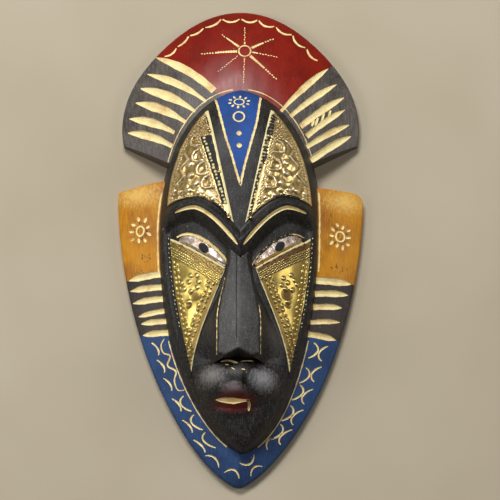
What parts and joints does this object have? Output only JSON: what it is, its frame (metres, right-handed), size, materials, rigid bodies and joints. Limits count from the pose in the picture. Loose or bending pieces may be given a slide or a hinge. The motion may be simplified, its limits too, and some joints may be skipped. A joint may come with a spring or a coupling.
{
  "type": "carved and painted wooden mask",
  "caption": "Long wooden face mask with a fan crest, side wings, gouged grooves and embossed metal sheets, hollow behind, lying on its flat back.",
  "frame": {"origin": "on the surface the mask lies on, under the middle of its length and breadth", "axes": "+X across the face to the viewer's right, +Y from the chin to the crest, +Z out of the face"},
  "size_m": [0.1512, 0.3, 0.057],
  "materials": {
    "painted_wood": "satin paint over carved wood, raw in the cuts",
    "embossed_brass": "embossed thin sheet, worn and stained",
    "eye_metal": "thin sheet, dull silver",
    "nail_brass": "small nails, tarnished"
  },
  "bodies": {
    "root": {"mask_body": "painted_wood", "forehead_plate_left": "embossed_brass", "forehead_plate_right": "embossed_brass", "cheek_plate_left": "embossed_brass", "cheek_plate_right": "embossed_brass", "eye_plate_left": "eye_metal", "eye_plate_right": "eye_metal", "nail_left_1": "nail_brass", "nail_left_2": "nail_brass", "nail_left_3": "nail_brass", "nail_right": "nail_brass"}
  },
  "joints": []
}
